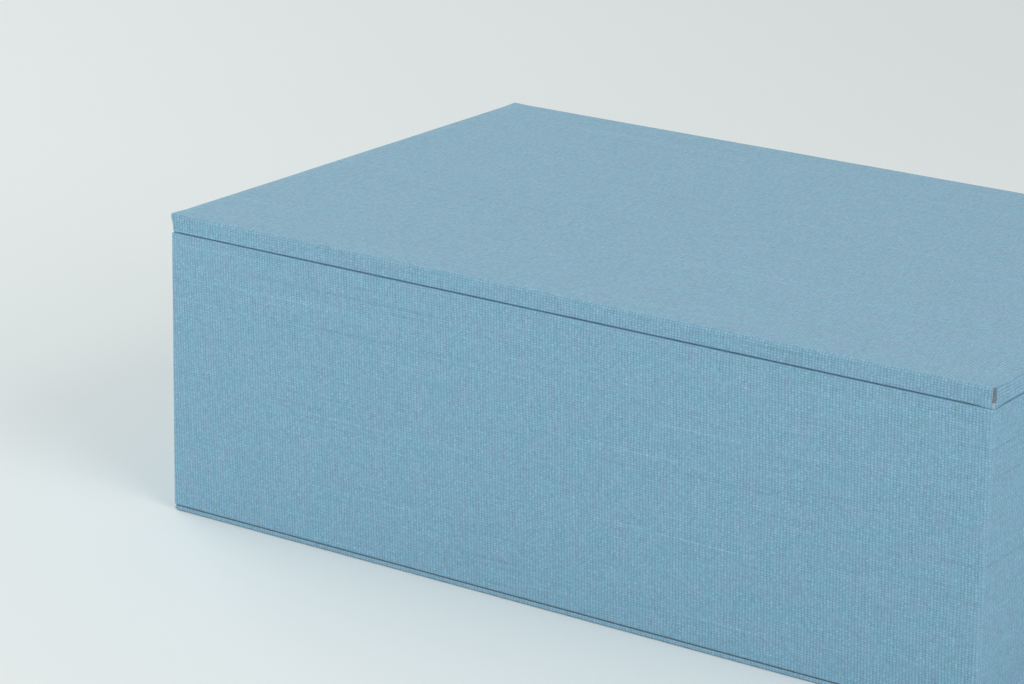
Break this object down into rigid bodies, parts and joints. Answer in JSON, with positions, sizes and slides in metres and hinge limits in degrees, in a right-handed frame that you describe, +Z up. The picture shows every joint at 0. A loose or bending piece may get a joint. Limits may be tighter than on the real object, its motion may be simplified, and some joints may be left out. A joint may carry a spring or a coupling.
{
  "type": "sliding drawer gift box",
  "caption": "Rigid rectangular box wrapped in blue bookcloth, with a thick top panel, seams above and below its walls, and a paper-lined drawer pulled out of a short end by a folded ribbon.",
  "frame": {"origin": "centre of the underside of the case, on the surface that the box stands on", "axes": "+X along the box from the drawer's mouth to the closed end, -Y out of the long front face, +Z up"},
  "size_m": [0.3021, 0.2, 0.1032],
  "materials": {
    "bookcloth": "plain-weave blue bookcloth with slubs, matt",
    "greyboard": "raw brown-grey pulp board",
    "lining_paper": "off-white wove paper, matt",
    "ribbon": "ribbed grosgrain, dark blue"
  },
  "bodies": {
    "case": {"top_ply_1": "greyboard", "top_ply_2": "greyboard", "top_ply_3": "greyboard", "top_cloth": "bookcloth", "front_wall_board": "greyboard", "back_wall_board": "greyboard", "end_wall_board": "greyboard", "wall_cloth": "bookcloth", "base_board": "greyboard", "base_cloth": "bookcloth", "bay_ceiling_lining": "lining_paper", "bay_wall_lining": "lining_paper", "bay_floor_lining": "lining_paper"},
    "drawer": {"drawer_front_board": "greyboard", "drawer_rear_board": "greyboard", "drawer_near_side_board": "greyboard", "drawer_far_side_board": "greyboard", "drawer_base_board": "greyboard", "drawer_cloth": "bookcloth", "drawer_wall_lining": "lining_paper", "drawer_floor_lining": "lining_paper", "drawer_underside_paper": "lining_paper", "pull_ribbon_tail": "ribbon"},
    "pull": {"pull_ribbon_loop": "ribbon"}
  },
  "joints": [
    {"name": "drawer_slide", "type": "slide", "parent": "case", "child": "drawer", "axis": [-1, 0, 0], "range_m": [0, 0.305]},
    {"name": "pull_lift", "type": "hinge", "parent": "drawer", "child": "pull", "pos_m": [-0.15065, 0, 0.05614], "axis": [0, 1, 0], "range_deg": [0, 165]}
  ]
}
